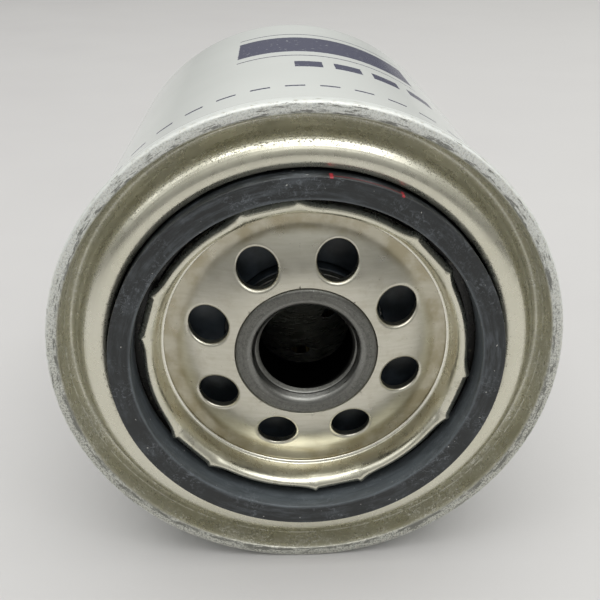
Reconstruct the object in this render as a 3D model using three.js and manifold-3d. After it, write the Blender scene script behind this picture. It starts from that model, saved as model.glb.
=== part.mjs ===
// Spin-on oil filter, lying on its side: an assembly of pressed, moulded and coiled pieces.
//
// Every piece is drawn on the filter's own axis first. There z is the height above the crest of
// the rolled seam: positive towards the engine, negative down into the can. The last lines lay the
// whole filter on its side, with its thread end towards -Y and the ground at z = 0.
// All sizes are in millimetres.

import * as THREE from 'three';
import { mergeVertices } from 'three/addons/utils/BufferGeometryUtils.js';
import Module from 'manifold-3d';

const wasm = await Module();
wasm.setup();

// ---------------------------------------------------------------- driving sizes

const overallLength = 110.8;      // dome tip to sealing face
const sheet = 0.4;                // can and lid sheet
const fit = 0.3;                  // gap left between pieces that touch

const gasketOuter = 35.2;         // sealing ring, outer radius
const gasketWidth = 4.0;          // width of its flat face
const shoulderWidth = 10.1;       // from the sealing ring out to the can's wall
const gasketHeight = 6.3;
const gasketProud = 2.9;          // how far it stands above the seam

const seamHeight = 3.6;           // height of the rolled double seam
const seamFold = 0.5;             // how far the can's edge folds outwards in the seam
const channelDepth = 5.7;         // bottom of the channel inside the seam
const shoulderRise = 0.25;        // how far the lid's shoulder stands above the seam
const crimpCount = 6;
const crimpPush = 1.1;            // how far each crimp is pressed out over the gasket
const crimpPhase = THREE.MathUtils.degToRad(42.4);
const crimpHalfWidth = THREE.MathUtils.degToRad(9);

const plateThickness = 2.2;
const plateSlope = THREE.MathUtils.degToRad(17);
const holeCount = 8;
const holeShare = 0.267;          // inlet hole's radius as a share of the room between hub and lid
const holeInset = 1.25;           // how far the holes stand inside the middle of that room
const holePhase = THREE.MathUtils.degToRad(27.7);

const threadRadius = 8.7;         // minor radius of the 3/4-16 thread
const hubWall = 4.3;              // thread to the hub's outside
const hubTop = -2.0;
const hubLength = 12.4;
const hubFlange = 1.8;            // how far the flange behind the plate stands out

const valveThickness = 1.3;       // rubber of the anti-drain-back valve
const valveCollarWall = 2.4;

const mediaGap = 7.3;             // oil space between the paper and the can
const mediaInner = 18.2;
const pleatCount = 44;
const paperThickness = 0.9;
const pottingDepth = 1.7;         // adhesive under each end cap
const capSkirt = 3.0;
const tubeRadius = 15.8;          // outside of the centre tube
const tubeWall = 0.6;

const springRadius = 17.6;        // element spring, coil centre line
const springWire = 1.7;
const springTurns = 3.5;
const springRoom = 17.6;          // from the element down to the dome's inside

const domeCorner = 9.0;
const domeRise = 2.9;

const bypassRadius = 11.6;        // outside of the bypass valve's housing
const bypassDepth = 10.4;
const bypassPort = 4.2;           // hole that the bypass valve closes
const poppetRadius = 8.2;
const stemRadius = 1.6;
const bypassWire = 0.9;

const roundSides = 48;            // facets round the shell's pieces
const elementSides = 36;          // facets round the element's wide pieces
const innerSides = 24;            // facets round the small ones

// ---------------------------------------------------------------- derived heights and radii

const domeTip = gasketProud - overallLength;
const domeInside = domeTip + sheet;
const wallEnd = domeTip + domeRise + domeCorner;

const gasketInner = gasketOuter - gasketWidth;
const canRadius = gasketOuter + shoulderWidth;
const foldRadius = canRadius + seamFold;
const seamRadius = foldRadius + fit + sheet;
const canInside = canRadius - sheet;
const chuckRadius = canInside - fit - sheet;

const gasketTop = gasketProud;
const gasketBottom = gasketTop - gasketHeight;
const grooveFloor = gasketBottom - fit;
const grooveOuter = gasketOuter + 0.5;
const ringRadius = gasketInner - 1.7;
const lidEdge = ringRadius - 2.9;
const lidEdgeHeight = grooveFloor - 1.5;

const hubRadius = threadRadius + hubWall;
const holeRadius = (lidEdge - hubRadius) * holeShare;
const holeCircle = (lidEdge + hubRadius) / 2 - holeInset;
const plateBore = hubRadius + fit + 0.05;
const plateRim = lidEdgeHeight - fit - 0.1;
const plateRadius = gasketOuter + 5.3;
const plateFoot = holeCircle + holeRadius + 1.8;
const coneTop = plateRim + (plateFoot - plateBore) * Math.tan(plateSlope);

const hubBottom = hubTop - hubLength;
const flangeTop = coneTop - plateThickness - fit - 0.7;
const flangeBottom = flangeTop - 2.0;
const neckRadius = hubRadius - 0.8;

const collarInner = neckRadius + fit;
const collarOuter = collarInner + valveCollarWall;
const collarTop = flangeBottom - fit;
const collarBottom = hubBottom + 0.2;
const lipTop = plateRim - plateThickness - fit;
const valveReach = ringRadius + 1.5;

const capTop = collarBottom - fit;
const pottingTop = capTop - sheet - fit;
const mediaTop = pottingTop - pottingDepth - fit;
const capBottom = domeInside + springRoom;
const pottingBottom = capBottom + sheet + fit;
const mediaBottom = pottingBottom + pottingDepth + fit;
const mediaOuter = canInside - mediaGap;
const skirtInside = mediaOuter + 1.5;
const capHole = tubeRadius - tubeWall - fit - sheet;

const bypassFlange = capBottom - fit;
const bypassFloor = bypassFlange - bypassDepth + 4.0;
const bypassRim = bypassFloor + bypassDepth;
const poppetFace = bypassFloor + sheet + fit;

// ---------------------------------------------------------------- shape helpers

// Points of an arc round (cr, cz), from one angle to the other in degrees.
function arc(cr, cz, radius, from, to, steps) {
  const points = [];
  for (let i = 0; i <= steps; i++) {
    const a = THREE.MathUtils.degToRad(from + ((to - from) * i) / steps);
    points.push([cr + radius * Math.cos(a), cz + radius * Math.sin(a)]);
  }
  return points;
}

// Twice the signed area of a closed outline; it is positive when the outline runs anticlockwise.
function turning(outline) {
  let sum = 0;
  outline.forEach(([r, z], i) => {
    const [nextR, nextZ] = outline[(i + 1) % outline.length];
    sum += r * nextZ - nextR * z;
  });
  return sum;
}

// Turns a line of [radius, height] points about the axis, with a facet, not a corner, at the bottom.
function turned(line, sides) {
  const points = line.map(([r, z]) => new THREE.Vector2(r, z));
  const geometry = new THREE.LatheGeometry(points, sides, Math.PI / sides);
  geometry.rotateX(Math.PI / 2);
  return geometry;
}

// The same for a closed outline that stays off the axis.
function turnedRing(outline, sides = innerSides) {
  const ring = turning(outline) > 0 ? [...outline] : [...outline].reverse();
  return turned([...ring, ring[0]], sides);
}

// A pressed sheet: a line of points and the same line moved to its left by the thickness.
function pressed(line, thickness) {
  const moved = line.map(([r, z], i) => {
    const [r0, z0] = line[Math.max(i - 1, 0)];
    const [r1, z1] = line[Math.min(i + 1, line.length - 1)];
    const before = new THREE.Vector2(r - r0, z - z0).normalize();
    const after = new THREE.Vector2(r1 - r, z1 - z).normalize();
    const along = before.clone().add(after).normalize();
    const reference = before.lengthSq() > 0.5 ? before : after;
    const stretch = thickness / Math.max(along.dot(reference), 0.5);
    return [r - along.y * stretch, z + along.x * stretch];
  });
  return [...line, ...moved.reverse()];
}

// A flat ring or tube with square edges.
function band(inner, outer, bottom, top) {
  return [[inner, bottom], [outer, bottom], [outer, top], [inner, top]];
}

function solidOf(geometry) {
  const bare = geometry.clone();
  bare.deleteAttribute('normal');
  bare.deleteAttribute('uv');
  const merged = mergeVertices(bare, 1e-4);
  const indices = [];
  for (let i = 0; i < merged.index.count; i += 3) {
    const [a, b, c] = [0, 1, 2].map((k) => merged.index.getX(i + k));
    if (a !== b && b !== c && a !== c) {
      indices.push(a, b, c);
    }
  }
  return new wasm.Manifold(new wasm.Mesh({
    numProp: 3,
    vertProperties: new Float32Array(merged.attributes.position.array),
    triVerts: new Uint32Array(indices),
  }));
}

function geometryOf(solid) {
  const mesh = solid.getMesh();
  const geometry = new THREE.BufferGeometry();
  geometry.setAttribute('position', new THREE.BufferAttribute(new Float32Array(mesh.vertProperties), 3));
  geometry.setIndex(new THREE.BufferAttribute(new Uint32Array(mesh.triVerts), 1));
  geometry.computeVertexNormals();
  return geometry;
}

// A round cutter standing on the axis direction at (x, y).
function drill(radius, x, y, bottom, top, sides = 16) {
  const geometry = new THREE.CylinderGeometry(radius, radius, top - bottom, sides);
  geometry.rotateX(Math.PI / 2);
  geometry.translate(x, y, (top + bottom) / 2);
  return solidOf(geometry);
}

// A round wire wound on the axis.
function coil(radius, wire, turns, bottom, top, stepsPerTurn) {
  class Helix extends THREE.Curve {
    getPoint(t, target = new THREE.Vector3()) {
      const angle = 2 * Math.PI * turns * t;
      return target.set(radius * Math.cos(angle), radius * Math.sin(angle), bottom + (top - bottom) * t);
    }
  }
  const section = new THREE.Shape();
  section.absarc(0, 0, wire / 2, 0, 2 * Math.PI);
  return new THREE.ExtrudeGeometry(section, {
    curveSegments: 3,
    steps: Math.round(turns * stepsPerTurn),
    extrudePath: new Helix(),
  });
}

// ---------------------------------------------------------------- can, lid and gasket

// Deep-drawn can: a domed end, a straight wall, and an edge folded out into the seam.
function outerCanShape() {
  const cornerCentre = canRadius - domeCorner;
  const dome = [[0, domeTip], [6, domeTip], [cornerCentre * 0.55, domeTip + domeRise * 0.25]];
  const outside = [
    ...dome,
    ...arc(cornerCentre, wallEnd, domeCorner, -90, 0, 5),
  ];
  const foldTop = -sheet - fit;
  const hook = [
    [canRadius, -seamHeight + sheet + 2 * fit],
    [foldRadius, -seamHeight + sheet + 2 * fit + 0.2],
    [foldRadius, foldTop - 0.3],
    [foldRadius - 0.3, foldTop],
    [canInside + 0.2, foldTop],
    [canInside, foldTop - 0.2],
  ];
  const inside = [
    ...arc(cornerCentre, wallEnd, domeCorner - sheet, 0, -90, 5),
    [cornerCentre * 0.55, domeTip + domeRise * 0.25 + sheet],
    [6, domeInside],
    [0, domeInside],
  ];
  return turned([...outside, ...hook, ...inside], roundSides);
}

// The lid's line runs from its hook under the seam, over the crest, through the channel, over the
// shoulder, round the gasket's groove and over the retaining ring to the inner edge.
function lidLine() {
  const channel = chuckRadius - 1.3;
  const shoulder = grooveOuter + 1.5;
  return [
    [canRadius + fit, -seamHeight],
    [seamRadius - 0.3, -seamHeight],
    [seamRadius, -seamHeight + 0.3],
    [seamRadius, -0.7],
    [seamRadius - 0.2, -0.2],
    [seamRadius - 0.7, 0],
    [chuckRadius + 0.7, 0],
    [chuckRadius + 0.2, -0.2],
    [chuckRadius, -0.7],
    [chuckRadius - 0.2, -channelDepth + 1.2],
    [chuckRadius - 0.5, -channelDepth + 0.4],
    [channel, -channelDepth],
    [channel - 0.8, -channelDepth + 0.6],
    [shoulder + 4.5, shoulderRise - 3.9],
    [shoulder + 3.7, shoulderRise - 2.3],
    [shoulder + 2.8, shoulderRise - 1.05],
    [shoulder + 1.4, shoulderRise - 0.2],
    [shoulder, shoulderRise],
    [grooveOuter + 0.5, shoulderRise - 0.2],
    [grooveOuter + 0.05, shoulderRise - 0.7],
    [grooveOuter, grooveFloor],
    [ringRadius, grooveFloor],
    [ringRadius, -1.3],
    [ringRadius - 0.4, -0.5],
    [ringRadius - 1.1, -0.2],
    [ringRadius - 1.8, -0.6],
    [ringRadius - 2.2, -1.6],
    [lidEdge, lidEdgeHeight],
  ];
}

// Closing lid, with six crimps that press the retaining ring's crest out over the gasket.
function seamingLidShape() {
  const geometry = turnedRing(pressed(lidLine(), sheet), roundSides);
  const place = geometry.attributes.position;
  const pitch = (2 * Math.PI) / crimpCount;
  for (let i = 0; i < place.count; i++) {
    const x = place.getX(i);
    const y = place.getY(i);
    const z = place.getZ(i);
    const radius = Math.hypot(x, y);
    const nearCrest = z > grooveFloor + 1.0 && Math.abs(radius - ringRadius + 0.6) < 0.9;
    const angle = Math.atan2(y, x) - crimpPhase;
    const fromCrimp = Math.abs(angle - Math.round(angle / pitch) * pitch);
    if (nearCrest && fromCrimp < crimpHalfWidth) {
      const grown = 1 + crimpPush / radius;
      place.setXY(i, x * grown, y * grown);
    }
  }
  geometry.computeVertexNormals();
  return geometry;
}

// Square-section sealing ring with a small chamfer on its sealing side.
function sealingGasketShape() {
  const chamfer = 0.35;
  return turnedRing([
    [gasketInner, gasketBottom],
    [gasketOuter, gasketBottom],
    [gasketOuter, gasketTop - chamfer],
    [gasketOuter - chamfer, gasketTop],
    [gasketInner + chamfer, gasketTop],
    [gasketInner, gasketTop - chamfer],
  ], roundSides);
}

// ---------------------------------------------------------------- tapping plate and hub

// Thick pressed plate: a shallow cone round the hub with a ring of inlet holes, and a flat rim.
function tappingPlateShape() {
  const underFoot = plateFoot - plateThickness * 0.15;
  const blank = solidOf(turnedRing([
    [plateBore, coneTop],
    [plateBore, coneTop - plateThickness],
    [underFoot, plateRim - plateThickness],
    [plateRadius, plateRim - plateThickness],
    [plateRadius, plateRim],
    [plateFoot + 0.7, plateRim],
    [plateFoot - 0.4, plateRim + 0.18],
  ], roundSides));
  let plate = blank;
  for (let i = 0; i < holeCount; i++) {
    const angle = holePhase + (i * 2 * Math.PI) / holeCount;
    const x = holeCircle * Math.cos(angle);
    const y = holeCircle * Math.sin(angle);
    plate = plate.subtract(drill(holeRadius, x, y, plateRim - 2 * plateThickness, coneTop + 1));
  }
  return geometryOf(plate);
}

// Threaded hub: a steel collar standing in the plate, with a flange behind it and a plain bore at
// the thread's minor radius.
function threadedHubShape() {
  const edge = Math.min(coneTop, hubTop - 0.3);
  return turnedRing([
    [threadRadius, hubTop - 2.6],
    [threadRadius + 0.9, hubTop - 1.3],
    [threadRadius + 1.5, hubTop - 0.3],
    [threadRadius + 2.2, hubTop],
    [hubRadius - 0.6, hubTop],
    [hubRadius, edge],
    [hubRadius, flangeTop],
    [hubRadius + hubFlange, flangeTop],
    [hubRadius + hubFlange, flangeBottom],
    [neckRadius, flangeBottom],
    [neckRadius, hubBottom],
    [threadRadius + 0.8, hubBottom],
    [threadRadius, hubBottom + 0.8],
  ], elementSides);
}

// ---------------------------------------------------------------- anti-drain-back valve

// Thick rubber collar, gripped between the hub's flange and the element.
function valveCollarShape() {
  return turnedRing(band(collarInner, collarOuter, collarBottom, collarTop));
}

// Thin rubber skirt that rests on the plate's back outside the inlet holes.
function valveLipShape() {
  const root = collarOuter + fit;
  const rootHeight = collarTop - 2.2;
  return turnedRing([
    [root, rootHeight],
    [root, rootHeight - valveThickness],
    [valveReach - 3.0, lipTop - valveThickness - 1.2],
    [valveReach, lipTop - valveThickness],
    [valveReach, lipTop],
    [valveReach - 2.6, lipTop],
    [valveReach - 4.0, lipTop - 1.0],
  ], elementSides);
}

// ---------------------------------------------------------------- filter element

// Steel end cap, a disc with an outer and an inner skirt; facing is 1 for the upper cap, -1 for the
// lower one.
function endCapShape(height, facing) {
  const outside = skirtInside + sheet;
  const line = [
    [capHole, height - facing * capSkirt],
    [capHole, height],
    [outside, height],
    [outside, height - facing * capSkirt],
  ];
  return turnedRing(pressed(facing > 0 ? line.reverse() : line, sheet), elementSides);
}

// Adhesive ring that pots one end of the paper into its cap.
function pottingShape(bottom, top) {
  return turnedRing(band(tubeRadius + fit, skirtInside - fit, bottom, top), elementSides);
}

// Pleated paper: a star-shaped wall of even thickness.
function pleatedMediaShape() {
  const star = (inner, outer) => {
    const points = [];
    for (let i = 0; i < 2 * pleatCount; i++) {
      const angle = (Math.PI * i) / pleatCount;
      const radius = i % 2 ? inner : outer;
      points.push(new THREE.Vector2(radius * Math.cos(angle), radius * Math.sin(angle)));
    }
    return points;
  };
  const halfPleat = Math.PI / pleatCount;
  const slant = Math.atan2(halfPleat * 0.5 * (mediaOuter + mediaInner), mediaOuter - mediaInner);
  const tipStep = paperThickness / Math.sin(slant) * 0.5;
  const step = Math.min(tipStep, (mediaOuter - mediaInner) * 0.3);
  const shape = new THREE.Shape(star(mediaInner + step, mediaOuter));
  shape.holes.push(new THREE.Path(star(mediaInner, mediaOuter - step)));
  const geometry = new THREE.ExtrudeGeometry(shape, { depth: mediaTop - mediaBottom, bevelEnabled: false });
  geometry.translate(0, 0, mediaBottom);
  return geometry;
}

// Steel strip that clamps the two ends of the pleated pack together.
function mediaClipShape() {
  const length = mediaTop - mediaBottom - 2;
  const geometry = new THREE.BoxGeometry(0.6, 5, length);
  geometry.translate(mediaOuter + fit + 0.4, 0, (mediaTop + mediaBottom) / 2);
  return geometry;
}

// Perforated steel tube that holds the paper against the oil's pressure.
function centerTubeShape() {
  const top = pottingTop;
  const bottom = pottingBottom;
  const rows = 4;
  const holesPerRow = 3;
  let tube = solidOf(turnedRing(band(tubeRadius - tubeWall, tubeRadius, bottom, top)));
  for (let row = 0; row < rows; row++) {
    const height = THREE.MathUtils.lerp(mediaBottom, mediaTop, (row + 1) / (rows + 1));
    for (let i = 0; i < holesPerRow; i++) {
      const hole = new THREE.CylinderGeometry(2.2, 2.2, 2.6 * tubeRadius, 8);
      hole.rotateZ(Math.PI / holesPerRow * (i + (row % 2) / 2));
      hole.translate(0, 0, height);
      tube = tube.subtract(solidOf(hole));
    }
  }
  return geometryOf(tube);
}

// ---------------------------------------------------------------- bypass valve

// Pressed steel cup hung in the lower end cap, with a port in its floor.
function bypassHousingShape() {
  const inside = bypassRadius - sheet;
  return turnedRing([
    [bypassPort, bypassFloor],
    [bypassRadius, bypassFloor],
    [bypassRadius, bypassFlange - sheet],
    [capHole - 0.5, bypassFlange - sheet],
    [capHole - 0.5, bypassFlange],
    [bypassRadius, bypassFlange],
    [bypassRadius, bypassRim],
    [inside, bypassRim],
    [inside, bypassFloor + sheet],
    [bypassPort, bypassFloor + sheet],
  ]);
}

// Rubber facing under the poppet's disc.
function bypassSealShape() {
  return turnedRing(band(stemRadius + 1.0, poppetRadius, poppetFace, poppetFace + 0.9));
}

// Stamped poppet: a disc with a guide stem.
function bypassPoppetShape() {
  const under = poppetFace + 0.9 + fit;
  const outline = [
    [0, under], [poppetRadius, under], [poppetRadius, under + 0.6],
    [stemRadius + 1.2, under + 0.6], [stemRadius, under + 1.4],
    [stemRadius, bypassRim + 1.6], [0, bypassRim + 1.6],
  ];
  return turned(outline, innerSides);
}

function bypassSpringShape() {
  const bottom = poppetFace + 0.9 + fit + 0.6 + fit + bypassWire / 2;
  const top = bypassRim - bypassWire / 2;
  return coil(4.6, bypassWire, 3.5, bottom, top, 10);
}

// Steel bridge over the housing: it guides the stem, holds the spring and lets oil through.
function bypassRetainerShape() {
  const bottom = bypassRim + fit;
  let bridge = solidOf(turnedRing(band(stemRadius + 0.4, bypassRadius, bottom, bottom + 0.6)));
  for (let i = 0; i < 4; i++) {
    const angle = (i * Math.PI) / 2 + Math.PI / 4;
    const x = 7.6 * Math.cos(angle);
    const y = 7.6 * Math.sin(angle);
    bridge = bridge.subtract(drill(2.3, x, y, bottom - 1, bottom + 2, 10));
  }
  return geometryOf(bridge);
}

// Coil spring that holds the element up against the valve collar.
function elementSpringShape() {
  const bottom = domeInside + 1.0 + springWire / 2;
  const top = capBottom - fit - springWire / 2;
  return coil(springRadius, springWire, springTurns, bottom, top, 14);
}

// ---------------------------------------------------------------- finishes

const finishes = {
  paint: { color: '#dfe4e1', roughness: 0.28, metalness: 0.0 },
  tinplate: { color: '#a9a692', roughness: 0.34, metalness: 0.9 },
  plateSteel: { color: '#b7b39f', roughness: 0.38, metalness: 0.9 },
  hubSteel: { color: '#55534f', roughness: 0.45, metalness: 0.9 },
  gasketRubber: { color: '#34373b', roughness: 0.72, metalness: 0.0 },
  valveRubber: { color: '#232a36', roughness: 0.5, metalness: 0.0 },
  innerSteel: { color: '#9b9a94', roughness: 0.4, metalness: 0.9 },
  paper: { color: '#b98a4a', roughness: 0.9, metalness: 0.0 },
  adhesive: { color: '#c7b98c', roughness: 0.6, metalness: 0.0 },
  springSteel: { color: '#6d6c69', roughness: 0.35, metalness: 1.0 },
};

// ---------------------------------------------------------------- assembly

const filter = new THREE.Group();

function add(name, geometry, finish) {
  const mesh = new THREE.Mesh(geometry, new THREE.MeshStandardMaterial(finishes[finish]));
  mesh.name = name;
  filter.add(mesh);
}

add('outer_can', outerCanShape(), 'paint');
add('seaming_lid', seamingLidShape(), 'tinplate');
add('sealing_gasket', sealingGasketShape(), 'gasketRubber');
add('tapping_plate', tappingPlateShape(), 'plateSteel');
add('threaded_hub', threadedHubShape(), 'hubSteel');
add('antidrainback_collar', valveCollarShape(), 'valveRubber');
add('antidrainback_lip', valveLipShape(), 'valveRubber');
add('upper_end_cap', endCapShape(capTop, 1), 'innerSteel');
add('lower_end_cap', endCapShape(capBottom, -1), 'innerSteel');
add('upper_potting', pottingShape(pottingTop - pottingDepth, pottingTop), 'adhesive');
add('lower_potting', pottingShape(pottingBottom, pottingBottom + pottingDepth), 'adhesive');
add('pleated_media', pleatedMediaShape(), 'paper');
add('media_clip', mediaClipShape(), 'innerSteel');
add('center_tube', centerTubeShape(), 'innerSteel');
add('bypass_housing', bypassHousingShape(), 'innerSteel');
add('bypass_seal', bypassSealShape(), 'valveRubber');
add('bypass_poppet', bypassPoppetShape(), 'innerSteel');
add('bypass_spring', bypassSpringShape(), 'springSteel');
add('bypass_retainer', bypassRetainerShape(), 'innerSteel');
add('element_spring', elementSpringShape(), 'springSteel');

// Lay the filter on its side: a facet of the seam meets the ground, and the origin stands under
// the middle of the filter's length.
filter.rotation.set(Math.PI / 2, 0, 0);
filter.position.set(0, (gasketTop + domeTip) / 2, seamRadius * Math.cos(Math.PI / roundSides));

export default filter;
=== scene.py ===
# %% [markdown]
# # A spin-on oil filter, seen from its thread end
# A spin-on filter is a thin painted steel can that is rolled shut over a pressed lid. The lid holds
# the sealing ring, and under it a thick tapping plate carries the thread and the inlet holes. The
# filter lies on its side here, so its axis runs along Y and its thread end looks towards -Y.
# The lesson works in millimetres on the axis: r is the distance from the axis, and h is the height
# above the rolled seam, which grows towards the engine. One function turns that into metres.
import bpy
import numpy as np
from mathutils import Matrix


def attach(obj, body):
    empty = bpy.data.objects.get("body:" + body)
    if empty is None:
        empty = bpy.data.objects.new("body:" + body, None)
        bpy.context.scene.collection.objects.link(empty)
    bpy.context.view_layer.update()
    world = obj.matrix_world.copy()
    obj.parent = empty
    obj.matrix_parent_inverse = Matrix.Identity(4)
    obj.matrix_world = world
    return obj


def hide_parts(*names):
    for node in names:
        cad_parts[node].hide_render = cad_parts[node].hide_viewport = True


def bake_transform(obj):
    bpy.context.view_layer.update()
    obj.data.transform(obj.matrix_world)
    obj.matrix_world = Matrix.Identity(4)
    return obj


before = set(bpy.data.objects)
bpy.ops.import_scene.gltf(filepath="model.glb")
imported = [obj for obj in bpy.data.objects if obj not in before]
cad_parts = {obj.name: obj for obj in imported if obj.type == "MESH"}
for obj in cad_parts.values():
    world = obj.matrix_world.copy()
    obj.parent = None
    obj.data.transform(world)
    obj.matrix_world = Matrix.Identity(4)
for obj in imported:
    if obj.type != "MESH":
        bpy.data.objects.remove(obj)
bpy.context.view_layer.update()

SEAM_Y = 52.5                     # the seam's crest lies this far from the middle, in mm
AXIS_Z = 46.4                     # height of the axis above the floor, in mm
TURN = 2 * np.pi
SHEET = 0.4                       # can and lid are pressed from sheet this thick
CAN_R = 45.3                      # outside of the can's wall
TINY = 1e-9                       # keeps a division by a length from failing
ALMOST_HALF = 0.499               # a rounded corner takes no more than this share of an edge
LONG_RUN, GUARD = 0.5, 0.08       # a run over LONG_RUN mm gets a point GUARD mm from each end

# %% [markdown]
# ## From rows of points to closed skins
# Almost every part of a filter is turned, rolled or pressed round one axis, so a part is a line of
# [r, h] points swept round it. A corner in that line is never truly sharp in sheet metal, so
# rounded() replaces each corner by a short parabola, as the press tool's radius does.

# %% Points, lines and solids
def to_scene(x, y, h):
    """Axis millimetres to scene metres: X = x, Y = -(h + seam), Z = y + axis height."""
    x, y, h = np.broadcast_arrays(x, y, h)
    return np.stack([x, -h - SEAM_Y, y + AXIS_Z], axis=-1) * 0.001


def rounded(line, reach, steps=6, closed=True):
    """Each corner P becomes the parabola (1-s)^2 A + 2 s (1-s) P + s^2 B, where A and B lie on its
    two edges at distance reach, or at half of the edge if that is shorter."""
    p = np.asarray(line, float)
    reach = np.broadcast_to(np.asarray(reach, float), len(p))[:, None]
    ends = []
    for step in (1, -1):
        edge = np.roll(p, step, axis=0) - p
        length = np.maximum(np.linalg.norm(edge, axis=1, keepdims=True), TINY)
        ends.append(p + edge * np.minimum(reach / length, ALMOST_HALF))
    a, b = ends
    s = np.linspace(0, 1, steps)[None, :, None]
    curve = (1 - s) ** 2 * a[:, None] + 2 * s * (1 - s) * p[:, None] + s ** 2 * b[:, None]
    if closed:
        return curve.reshape(-1, 2)
    return np.concatenate([p[:1], curve[1:-1].reshape(-1, 2), p[-1:]])


def spaced(line, gap, closed=True):
    """The same line with points added on its long straight runs, none of them longer than gap. Two
    of the points stay close to the ends of the run, which keeps the shading of the flat flat."""
    p = np.asarray(line, float)
    q = np.roll(p, -1, axis=0) if closed else p[1:]
    made = []
    for start, end in zip(p, q):
        length = np.linalg.norm(end - start)
        count = max(1, int(np.ceil(length / gap)))
        share = np.arange(count) / count
        if length > LONG_RUN:
            share = np.unique(np.concatenate([share, [GUARD / length, 1 - GUARD / length]]))
        made.append(start + (end - start) * share[:, None])
    return np.concatenate(made + ([] if closed else [p[-1:]]))


def sheet_line(line, thickness):
    """A pressed sheet: the line and its copy moved sideways by the thickness along the normal
    (-dh, dr), joined into one closed outline."""
    p = np.asarray(line, float)
    d = np.gradient(p, axis=0)
    d /= np.maximum(np.linalg.norm(d, axis=1, keepdims=True), TINY)
    moved = p + thickness * np.stack([-d[:, 1], d[:, 0]], axis=1)
    return np.concatenate([p, moved[::-1]])


def solid(name, points, faces, finish, body, nodes=(), slot=None, smooth=True):
    """Welds equal points, drops the empty side of folded faces, turns the faces outward by the sign
    of the volume and makes the object. faces is an array of four corner numbers a row."""
    points = points.reshape(-1, 3)
    key = np.round(points * 1e7 + 0.123).astype(np.int64)
    _, first, where = np.unique(key, axis=0, return_index=True, return_inverse=True)
    points, faces = points[first], where.reshape(-1)[faces]
    same = faces == np.roll(faces, -1, axis=1)
    quads = faces[~same.any(axis=1)]
    folded = faces[same.sum(axis=1) == 1]
    twin = np.argmax(folded == np.roll(folded, -1, axis=1), axis=1)
    keep = (twin[:, None] + np.arange(1, 4)) % 4
    triangles = np.take_along_axis(folded, keep, axis=1)
    fans = np.concatenate([quads[:, [0, 1, 2]], quads[:, [0, 2, 3]], triangles])
    a, b, c = points[fans[:, 0]], points[fans[:, 1]], points[fans[:, 2]]
    volume = np.einsum("ij,ij->i", a, np.cross(b, c)).sum() / 6
    if volume < 0:
        quads, triangles = quads[:, ::-1], triangles[:, ::-1]
    edges = np.concatenate([np.stack([q, np.roll(q, -1, axis=1)], -1).reshape(-1, 2)
                            for q in (quads, triangles)])
    _, uses = np.unique(np.sort(edges, axis=1), axis=0, return_counts=True)
    mesh = bpy.data.meshes.new(name)
    mesh.from_pydata(points.tolist(), [], quads.tolist() + triangles.tolist())
    mesh.polygons.foreach_set("use_smooth", np.full(len(mesh.polygons), smooth))
    mesh.materials.append(finish)
    mesh.update()
    made = bpy.data.objects.new(name, mesh)
    bpy.context.scene.collection.objects.link(made)
    if body:
        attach(made, body)
    if nodes:
        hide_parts(*nodes)
    volume_cm3, open_edges = abs(volume) * 1e6, (uses != 2).sum()
    print(f"{name}: {len(mesh.polygons)} faces, {volume_cm3:.2f} cm3, open edges {open_edges}")
    return made


def grid_faces(rows, columns, wrap_rows, wrap_columns=True):
    """Corner numbers of the cells of a grid of points stored row by row."""
    i = np.arange(rows if wrap_rows else rows - 1)[:, None]
    j = np.arange(columns if wrap_columns else columns - 1)[None, :]
    k, l = (i + 1) % rows, (j + 1) % columns
    corners = [i * columns + j, k * columns + j, k * columns + l, i * columns + l]
    return np.stack([np.broadcast_to(c, (i.size, j.size)) for c in corners], axis=-1).reshape(-1, 4)


def swept(line, angles, change=None):
    """Points (r cos a, r sin a, h) of a line swept round the axis; change may move r and h."""
    line = np.asarray(line, float)
    a = angles[None, :]
    r, h = np.broadcast_to(line.T[:, :, None], (2, len(line), len(angles)))
    if change:
        r, h = change(r, h, a)
    return to_scene(r * np.cos(a), r * np.sin(a), h)


def turned(name, line, finish, body, steps=240, change=None, angles=None, **more):
    """A closed outline swept round the axis. An outline that starts and ends on the axis is closed
    there by its two poles."""
    line = np.asarray(line, float)
    angles = np.arange(steps) / steps * TURN if angles is None else angles
    poles = line[0, 0] < 1e-6 and line[-1, 0] < 1e-6
    faces = grid_faces(len(line), len(angles), not poles)
    return solid(name, swept(line, angles, change), faces, finish, body, **more)


def ramp(x, low, high):
    """0 below low, 1 above high and 3t^2 - 2t^3 between them."""
    t = np.clip((x - low) / (high - low), 0, 1)
    return t * t * (3 - 2 * t)

print("surface tools ready")

# %% [markdown]
# ## Finishes
# Each finish starts from the material that the part is made of. A small function adds a node with its
# settings and links, and every pattern is laid out in real millimetres round the filter's axis.

# %% Node tools
def colour(text):
    """sRGB hex to the linear numbers that the renderer uses."""
    c = np.array([int(text[i:i + 2], 16) for i in (1, 3, 5)]) / 255
    return (*np.where(c <= 0.04045, c / 12.92, ((c + 0.055) / 1.055) ** 2.4), 1.0)


def add(tree, kind, inputs=None, out=0, **settings):
    """Adds a node, sets its properties, fills its inputs and returns the chosen output."""
    made = tree.nodes.new("ShaderNode" + kind)
    for key, value in settings.items():
        setattr(made, key, value)
    for key, value in (inputs or {}).items():
        if isinstance(value, bpy.types.NodeSocket):
            tree.links.new(value, made.inputs[key])
        else:
            made.inputs[key].default_value = value
    return made.outputs[out]


def math(tree, operation, a, b=0.0, c=0.0):
    """One arithmetic node."""
    return add(tree, "Math", {0: a, 1: b, 2: c}, operation=operation)


def scaled(tree, a, b, c):
    """a b + c."""
    return math(tree, "MULTIPLY_ADD", a, b, c)


def times(tree, first, *rest):
    """The product of its values."""
    for value in rest:
        first = math(tree, "MULTIPLY", first, value)
    return first


def largest(tree, first, *rest):
    """The largest of its values."""
    for value in rest:
        first = math(tree, "MAXIMUM", first, value)
    return first


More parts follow.
